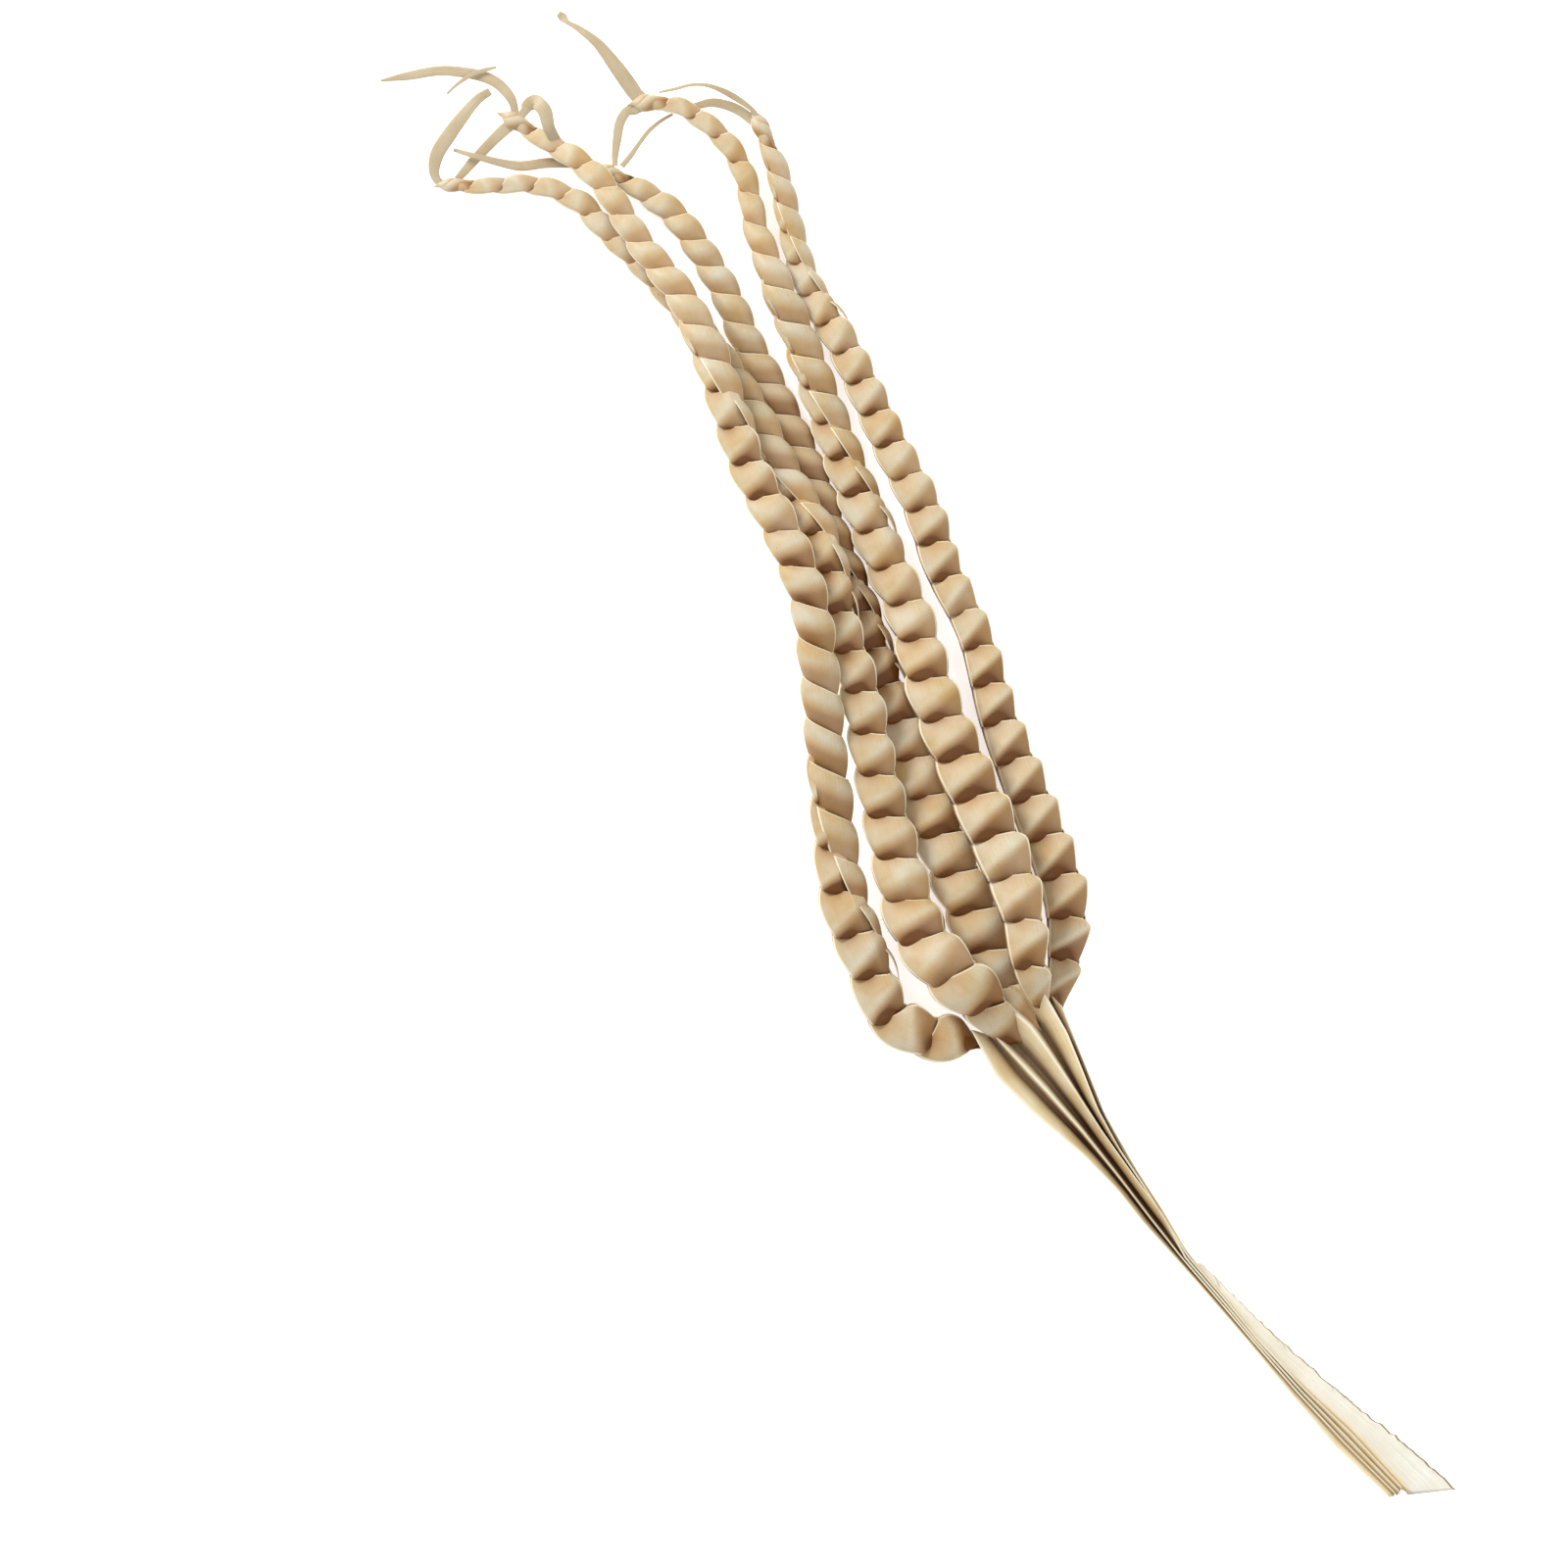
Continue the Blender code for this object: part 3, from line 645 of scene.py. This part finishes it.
def join(name, patches, mat, node, thickness, path=None):
    """One mesh from patches, laid over its path and given its thickness, on the node it stands
    for."""
    faces = []
    total = 0
    for patch in patches:
        faces += grid_faces(patch[4], patch[5], total)
        total += len(patch[0])
    piece = mesh_piece(name, np.vstack([p[0] for p in patches]), faces, mat,
                       np.vstack([p[1] for p in patches]), np.concatenate([p[2] for p in patches]),
                       np.concatenate([p[3] for p in patches]))
    if path is not None:
        line = line_object(name + "_line", path.lengthened())
        piece = run_tree(piece, BEND, {"Centre Line": line, "Girth": 1.0, "Material": mat})
        bpy.data.objects.remove(line)
    wall = piece.modifiers.new("wall", "SOLIDIFY")
    wall.thickness = thickness
    wall.offset = -1.0
    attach(piece, "root")
    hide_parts(node)


def strand(number):
    """The row of curls of one strand: one or two columns seen from above, and a plain back."""
    path = Path(STRANDS[number])
    patches = []
    mean = (PITCH_ROOT + PITCH_TIP) / 2 * UNIT
    count = LOBES[number]
    rng = np.random.default_rng(40 + number)
    start_s = 0.0
    for k in range(count):
        f = (k + 0.5) / count
        pitch = (PITCH_ROOT + (PITCH_TIP - PITCH_ROOT) * f) * UNIT * path.length / (mean * count)
        middle = start_s + pitch / 2
        start_s += pitch
        v = path.v_at(middle)
        c = table_at(ROLLS[number], v)
        sharp = table_at(RIDGES[number], v)
        tint = table_at(NEIGHBOUR_SHADOWS.get(number, NO_TINT), v)
        # The thin ends are paler, with weaker painted shade; the painted shade differs from curl to curl,
        # and each curl gets a little brown tone of its own.
        painted_shade_strength = float(np.interp(v, [120.0, 520.0], [0.55, 1.0])) * rng.uniform(0.6, 1.0)
        tint += rng.uniform(0.0, 0.12) * float(np.interp(v, [200.0, 700.0], [0.0, 1.0]))
        for column in range(int(math.floor(c + 0.5)) - 1, int(math.floor(c + 0.5)) + 1):
            p = c - column
            if not -0.5 <= p <= 1.0:
                continue
            blend = min(max(p / 0.5, 0.0), 1.0)
            side = half_angle(blend)
            start = 5.0 * sharp - side if p >= 0 else side - 2 * side * (p + 0.5) / 0.5
            end = side if p <= 0.5 else min(side, side - 2 * side * (p - 0.5) / 0.5 + UNDERLAP)
            if end - start < NARROWEST:
                continue
            # The two columns are half a pitch out of step.
            shift = pitch * (0.2 - 0.4 * (1 - p) / 1.5)
            patches.append(lobe(path, middle + shift, pitch, 0.0, blend, sharp * blend, start, end,
                                lift=PROUD if p < 0 else 0.0, tint=tint,
                                zigzag=ZIGZAG if p < 0 else 0.0,
                                tuck=DIVE if p > 0.5 else 0.0, painted_shade_strength=painted_shade_strength))
        patches.append(lobe(path, middle, pitch, math.pi, 0.5, 0.0, -104.0, 104.0, lift=-0.2, tint=0.25,
                            n=16, m=10))
    join(f"strips_{number}", patches, STRIP, f"strand_{number}", STRIP_T, path)


def knot(number):
    """Wrapped folds: bands laid over each other with opposite slants, and a plain back."""
    u, v, z, (from_u, from_v), length, width = KNOTS[number]
    du, dv = u - from_u, v - from_v
    norm = math.hypot(du, dv)
    du, dv = du / norm * length / 2, dv / norm * length / 2
    points = []
    for f in np.linspace(-1.5, 1.0, 8):
        girth = math.sqrt(1.0 - (0.86 * max(f, -0.7)) ** 2)
        points.append((u + du * f, v + dv * f, z, width / 2 * KNOT_FILL * girth))
    path = Path(points)
    whole = path.length
    side = half_angle(0.0)
    patches = []
    for middle, span, slant, lift, tint in KNOT_BANDS:
        patches.append(lobe(path, whole * middle, whole * span, 0.0, 0.0, 0.0, -side, side, lift=lift,
                            tint=tint, n=18, m=10, slant=slant))
    patches.append(lobe(path, whole * 0.5, whole, math.pi, 0.0, 0.0, -100.0, 100.0, lift=-0.05,
                        tint=0.4, n=18, m=10, slant=0.0))
    join(f"knot_folds_{number}", patches, STRIP, f"knot_{number}", KNOT_T, path)


for number in STRANDS:
    strand(number)
for number in KNOTS:
    knot(number)


def base_line(points):
    """A pleat's line as (distance along the base, offset across it), in units."""
    p = np.array(points, float) - np.array(BASE_START)
    along = p @ np.array(BASE_RUN)
    across = p @ np.array((-BASE_RUN[1], BASE_RUN[0]))
    return along, across


def pleat_lines(share):
    """Each pleat's upper line: distance along the base at the given shares, and offset across."""
    left = base_line(LEFT_EDGE)
    right = base_line(RIGHT_EDGE)
    ends = np.interp(np.array(LOWER_PART), left[0], left[1])
    other = np.interp(np.array(LOWER_PART), right[0], right[1])
    lines = []
    for top, middle in PLEATS:
        along, across = base_line(top)
        if middle is not None:
            along = np.concatenate([along, LOWER_PART])
            across = np.concatenate([across, ends + (other - ends) * middle])
        run = along[0] + (along[-1] - along[0]) * share
        lines.append((run, np.interp(run, along, across)))
    return lines


def sheet_patch(lines, uvs, shades, rims, rows):
    """A patch from lines of points laid side by side."""
    return (np.concatenate(lines), np.concatenate(uvs), np.concatenate(shades), np.concatenate(rims),
            len(lines), rows)


def pleated_base():
    """The folded blade: ridges and valleys that close towards the cut end."""
    share = np.linspace(0.0, 1.0, BASE_ROWS)
    rng = np.random.default_rng(7)
    ridges = pleat_lines(share)
    last = len(ridges) - 2
    lines, uvs, shades, rims = [], [], [], []
    for number in range(len(ridges) - 1):
        valley = FIRST_VALLEY if number == 0 else VALLEY
        for x in PLEAT_STEPS + ((1.0,) if number == last else ()):
            run = ridges[number][0] * (1 - x) + ridges[number + 1][0] * x
            off = ridges[number][1] * (1 - x) + ridges[number + 1][1] * x
            high, low, edge = [np.interp(run, BASE_HEIGHTS[0], row) for row in BASE_HEIGHTS[1:]]
            far_z = edge if number == last and x > valley else high
            far = abs(x - valley) / (valley if x < valley else 1 - valley)
            z = low + (far_z - low) * far ** WALL_BOW
            ragged = rng.uniform(-5.0, -1.0) * np.clip(share * 12 - 11, 0.0, 1.0)
            run = run + ragged
            u = BASE_START[0] + run * BASE_RUN[0] - off * BASE_RUN[1]
            v = BASE_START[1] + run * BASE_RUN[1] + off * BASE_RUN[0]
            lines.append(place(u, v, z))
            uvs.append(np.stack([run * UNIT / MM, 0 * run + (number + x) * PLEAT_MM], -1))
            # Painted shade: brown down in the valley and up its right wall, less so in the narrow lower
            # part.
            slit = math.exp(-((x - valley) / 0.17) ** 2)
            slope = 0.95 * (1 - far) ** 1.25 if x > valley else 0.4 * (1 - far)
            low_part = np.clip((share - 0.42) * 5, 0.0, 1.0)
            darkest = 0.95 if number < 2 else 0.8
            # The folds are open at their upper end, where their painted shade is lighter.
            closing = 0.72 + 0.28 * np.clip(share * 4.5, 0.0, 1.0)
            shades.append(np.clip(slit * darkest + slope, 0, 1) * closing * (1 - 0.45 * low_part))
            # Pale along each pleat's ridges: a painted highlight.
            rims.append(np.full(BASE_ROWS, 1.0 if x < 0.06 or x > 0.95 else 0.0))
    patch = sheet_patch(lines, uvs, shades, rims, BASE_ROWS)
    join("pleated_base", [patch], BLADE, "blade_base", BLADE_T)


def flat_margin():
    """The sheet beside the pleats: nearly flat, with a torn brown outer edge."""
    share = np.linspace(0.0, 1.0, MARGIN_ROWS)
    inner = resample(MARGIN_INNER, share)
    outer = resample(MARGIN_OUTER, share)
    rng = np.random.default_rng(11)
    outer = outer + rng.normal(0.0, TORN, outer.shape)
    lines, uvs, shades, rims = [], [], [], []
    for x in MARGIN_STEPS:
        line = inner * (1 - x) + outer * x
        z = 0.6 + 0.5 * (1 - x) + 0.25 * np.sin(share * 9.0 + x * 2.0)
        lines.append(place(line[:, 0], line[:, 1], z))
        uvs.append(np.stack([share * MARGIN_LONG_MM, 0 * share + x * MARGIN_WIDE_MM], -1))
        shades.append(np.full(MARGIN_ROWS, 0.95 if x > 0.95 else 0.25 * (1 - x) ** 2))
        rims.append(np.zeros(MARGIN_ROWS))
    patch = sheet_patch(lines, uvs, shades, rims, MARGIN_ROWS)
    join("flat_margin", [patch], MARGIN, "blade_base", MARGIN_T)


pleated_base()
flat_margin()


def ribbon_tree():
    """Sweeps a thin bowed strip along a line of points. Its half width is read from each point."""
    tree = bpy.data.node_groups.new("leaf_ribbon", "GeometryNodeTree")
    face = tree.interface
    face.new_socket(name="Geometry", in_out="INPUT", socket_type="NodeSocketGeometry")
    face.new_socket(name="Thickness", in_out="INPUT", socket_type="NodeSocketFloat")
    face.new_socket(name="Bow", in_out="INPUT", socket_type="NodeSocketFloat")
    face.new_socket(name="Material", in_out="INPUT", socket_type="NodeSocketMaterial")
    face.new_socket(name="Geometry", in_out="OUTPUT", socket_type="NodeSocketGeometry")
    start = add(tree, "NodeGroupInput")
    line = add(tree, "GeometryNodeMeshToCurve", {}, {"Mesh": start.outputs["Geometry"]})
    width = add(tree, "GeometryNodeInputNamedAttribute", {"data_type": "FLOAT"}, {}, {"Name": "half_width"})
    level = add(tree, "GeometryNodeSetCurveNormal", {"mode": "Z_UP"}, {"Curve": line.outputs["Curve"]})
    ring = add(tree, "GeometryNodeCurvePrimitiveCircle", {}, {}, {"Resolution": 14, "Radius": 1.0})
    spot = add(tree, "GeometryNodeInputPosition")
    parts = add(tree, "ShaderNodeSeparateXYZ", {}, {"Vector": spot.outputs["Position"]})
    square = add(tree, "ShaderNodeMath", {"operation": "MULTIPLY"},
                 {0: parts.outputs["X"], 1: parts.outputs["X"]})
    bowed = add(tree, "ShaderNodeMath", {"operation": "MULTIPLY"},
                {0: square.outputs["Value"], 1: start.outputs["Bow"]})
    thin = add(tree, "ShaderNodeMath", {"operation": "MULTIPLY_ADD"},
               {0: parts.outputs["Y"], 1: start.outputs["Thickness"], 2: bowed.outputs["Value"]})
    bent = add(tree, "ShaderNodeCombineXYZ", {}, {"X": parts.outputs["X"], "Y": thin.outputs["Value"]})
    section = add(tree, "GeometryNodeSetPosition", {},
                  {"Geometry": ring.outputs["Curve"], "Position": bent.outputs["Vector"]})
    run = add(tree, "GeometryNodeSplineParameter")
    kept_run = add(tree, "GeometryNodeStoreNamedAttribute", {"data_type": "FLOAT", "domain": "POINT"},
                   {"Geometry": level.outputs["Curve"], "Value": run.outputs["Length"]},
                   {"Name": "run"})
    kept_side = add(tree, "GeometryNodeStoreNamedAttribute", {"data_type": "FLOAT", "domain": "POINT"},
                    {"Geometry": section.outputs["Geometry"], "Value": parts.outputs["X"]},
                    {"Name": "side"})
    swept = add(tree, "GeometryNodeCurveToMesh", {},
                {"Curve": kept_run.outputs["Geometry"], "Profile Curve": kept_side.outputs["Geometry"],
                 "Scale": width.outputs["Attribute"]},
                {"Fill Caps": True})
    along = add(tree, "GeometryNodeInputNamedAttribute", {"data_type": "FLOAT"}, {}, {"Name": "run"})
    aside = add(tree, "GeometryNodeInputNamedAttribute", {"data_type": "FLOAT"}, {}, {"Name": "side"})
    # The UV map is in millimetres, as on the other pieces.
    along_mm = add(tree, "ShaderNodeMath", {"operation": "MULTIPLY"},
                   {0: along.outputs["Attribute"]}, {1: 1.0 / MM})
    aside_mm = add(tree, "ShaderNodeMath", {"operation": "MULTIPLY"},
                   {0: aside.outputs["Attribute"]}, {1: TAIL_HALF_MM})
    flat = add(tree, "ShaderNodeCombineXYZ", {},
               {"X": along_mm.outputs["Value"], "Y": aside_mm.outputs["Value"]})
    mapped = add(tree, "GeometryNodeStoreNamedAttribute", {"data_type": "FLOAT2", "domain": "CORNER"},
                 {"Geometry": swept.outputs["Mesh"], "Value": flat.outputs["Vector"]},
                 {"Name": "UVMap"})
    real = add(tree, "GeometryNodeRealizeInstances", {}, {"Geometry": mapped.outputs["Geometry"]})
    dressed = add(tree, "GeometryNodeSetMaterial", {},
                  {"Geometry": real.outputs["Geometry"], "Material": start.outputs["Material"]})
    add(tree, "NodeGroupOutput", {}, {"Geometry": dressed.outputs["Geometry"]})
    return tree


def sized_line(name, points, widths):
    """A chain of points that carries the half width at each."""
    made = line_object(name, points)
    layer = made.data.attributes.new("half_width", "FLOAT", "POINT")
    layer.data.foreach_set("value", np.asarray(widths, np.float32))
    return made


RIBBON = ribbon_tree()
for node, points in TAILS.items():
    owner = KNOTS[int(node[5])]
    if node in JOINED:
        points = [owner[:3] + (points[0][3],)] + points
    elif node == "loop_1":
        points = [LOOP_START] + points + [owner[:3] + (points[-1][3],)]
    rows = through(points, 6)
    line = sized_line("ribbon_" + node, place(rows[:, 0], rows[:, 1], rows[:, 2]),
                      np.maximum(rows[:, 3], 1.0) * HALF_TAIL * UNIT)
    piece = run_tree(line, RIBBON, {"Thickness": TAIL_T, "Bow": TAIL_BOW, "Material": TAIL})
    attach(piece, "root")
    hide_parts(node)


def fibre_tree():
    """Stands short curved fibres along a line of points, each turned and sized at random."""
    tree = bpy.data.node_groups.new("stray_fibres", "GeometryNodeTree")
    face = tree.interface
    face.new_socket(name="Geometry", in_out="INPUT", socket_type="NodeSocketGeometry")
    face.new_socket(name="Count", in_out="INPUT", socket_type="NodeSocketInt")
    face.new_socket(name="Length", in_out="INPUT", socket_type="NodeSocketFloat")
    face.new_socket(name="Heading", in_out="INPUT", socket_type="NodeSocketFloat")
    face.new_socket(name="Seed", in_out="INPUT", socket_type="NodeSocketInt")
    face.new_socket(name="Material", in_out="INPUT", socket_type="NodeSocketMaterial")
    face.new_socket(name="Geometry", in_out="OUTPUT", socket_type="NodeSocketGeometry")
    start = add(tree, "NodeGroupInput")
    line = add(tree, "GeometryNodeMeshToCurve", {}, {"Mesh": start.outputs["Geometry"]})
    spots = add(tree, "GeometryNodeResampleCurve", {},
                {"Curve": line.outputs["Curve"], "Count": start.outputs["Count"]})
    # One fibre, a unit long, that is scaled to its length where it stands.
    bend = add(tree, "GeometryNodeCurveQuadraticBezier", {}, {},
               {"Resolution": 6, "Start": (0.0, 0.0, 0.0), "Middle": (0.5, 0.08, 0.02),
                "End": (1.0, -0.06, 0.05)})
    ring = add(tree, "GeometryNodeCurvePrimitiveCircle", {}, {}, {"Resolution": 5, "Radius": 0.018})
    hair = add(tree, "GeometryNodeCurveToMesh", {},
               {"Curve": bend.outputs["Curve"], "Profile Curve": ring.outputs["Curve"]},
               {"Fill Caps": True})
    turn = add(tree, "FunctionNodeRandomValue", {"data_type": "FLOAT_VECTOR"},
               {"Seed": start.outputs["Seed"]},
               {0: (-0.1, -0.12, -0.3), 1: (0.1, 0.0, 0.5)})
    ahead = add(tree, "ShaderNodeCombineXYZ", {}, {"Z": start.outputs["Heading"]})
    aimed = add(tree, "ShaderNodeVectorMath", {"operation": "ADD"},
                {0: turn.outputs[0], 1: ahead.outputs["Vector"]})
    size = add(tree, "FunctionNodeRandomValue", {"data_type": "FLOAT"}, {"Seed": start.outputs["Seed"]},
               {2: 0.3, 3: 1.0})
    scale = add(tree, "ShaderNodeMath", {"operation": "MULTIPLY"},
                {0: size.outputs[1], 1: start.outputs["Length"]})
    stood = add(tree, "GeometryNodeInstanceOnPoints", {},
                {"Points": spots.outputs["Curve"], "Instance": hair.outputs["Mesh"],
                 "Rotation": aimed.outputs["Vector"], "Scale": scale.outputs["Value"]})
    real = add(tree, "GeometryNodeRealizeInstances", {}, {"Geometry": stood.outputs["Instances"]})
    dressed = add(tree, "GeometryNodeSetMaterial", {},
                  {"Geometry": real.outputs["Geometry"], "Material": start.outputs["Material"]})
    add(tree, "NodeGroupOutput", {}, {"Geometry": dressed.outputs["Geometry"]})
    return tree


# Frayed places replace no node: they are added to the blade and the strands.
FIBRES = fibre_tree()
for name, points, z, count, long_mm, heading, seed in FRAYS:
    rows = resample(points, np.linspace(0.0, 1.0, 40))
    line = line_object(name, place(rows[:, 0], rows[:, 1], z))
    piece = run_tree(line, FIBRES, {"Count": count, "Length": long_mm * MM,
                                    "Heading": math.radians(heading), "Seed": seed,
                                    "Material": FIBRE})
    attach(piece, "root")

# The floor, just under the leaf.
bpy.ops.mesh.primitive_plane_add(size=8.0, location=(0.0, 0.0, -0.0004))
floor = bpy.context.object
floor.name = "floor"
paper = bpy.data.materials.new("matt_white_board")
paper.use_nodes = True
paper.node_tree.nodes["Principled BSDF"].inputs["Base Color"].default_value = srgb("#F7F6F3")
paper.node_tree.nodes["Principled BSDF"].inputs["Roughness"].default_value = 0.9
# A lit white board: a weak glow of its own keeps its shadows pale.
paper.node_tree.nodes["Principled BSDF"].inputs["Emission Color"].default_value = (1, 1, 1, 1)
paper.node_tree.nodes["Principled BSDF"].inputs["Emission Strength"].default_value = 0.6
floor.data.materials.append(paper)

# The camera looks straight down, so far off that the plan fills its frame.
centre = SHIFT + np.array((0.0, 0.0, 0.015))
lens_mm = 200.0
sensor_mm = 36.0
camera = bpy.data.cameras.new("camera")
camera.lens = lens_mm
camera.sensor_width = sensor_mm
camera.clip_end = 50.0
view = bpy.data.objects.new("camera", camera)
view.location = centre + np.array((0.0, 0.0, PLAN_SIZE * UNIT * lens_mm / sensor_mm))
view.rotation_euler = (0.0, 0.0, -PLAN_TURN)
bpy.context.scene.collection.objects.link(view)
bpy.context.scene.camera = view

# A little cooler than white, so that the light the leaf throws on itself stays cream.
DAYLIGHT = (0.95, 0.98, 1.0)


def area_light(name, across, up, height, size, power):
    """A soft box: across and up are metres in the picture's own directions."""
    c, s = math.cos(PLAN_TURN), math.sin(PLAN_TURN)
    spot = centre + np.array((c * across + s * up, c * up - s * across, height))
    light = bpy.data.lights.new(name, "AREA")
    light.shape = "DISK"
    light.size = size
    light.energy = power
    light.color = DAYLIGHT
    made = bpy.data.objects.new(name, light)
    made.location = spot
    made.rotation_euler = (Vector(centre) - Vector(spot)).to_track_quat("-Z", "Y").to_euler()
    bpy.context.scene.collection.objects.link(made)


area_light("key_top_left", -1.5, 1.9, 1.5, 1.3, 73.0)
area_light("fill_right", 1.2, -0.6, 2.4, 2.0, 14.0)
world = bpy.data.worlds.new("studio")
world.use_nodes = True
world.node_tree.nodes["Background"].inputs["Color"].default_value = (*DAYLIGHT, 1)
world.node_tree.nodes["Background"].inputs["Strength"].default_value = 0.72
bpy.context.scene.world = world
bpy.context.scene.view_settings.view_transform = "Standard"
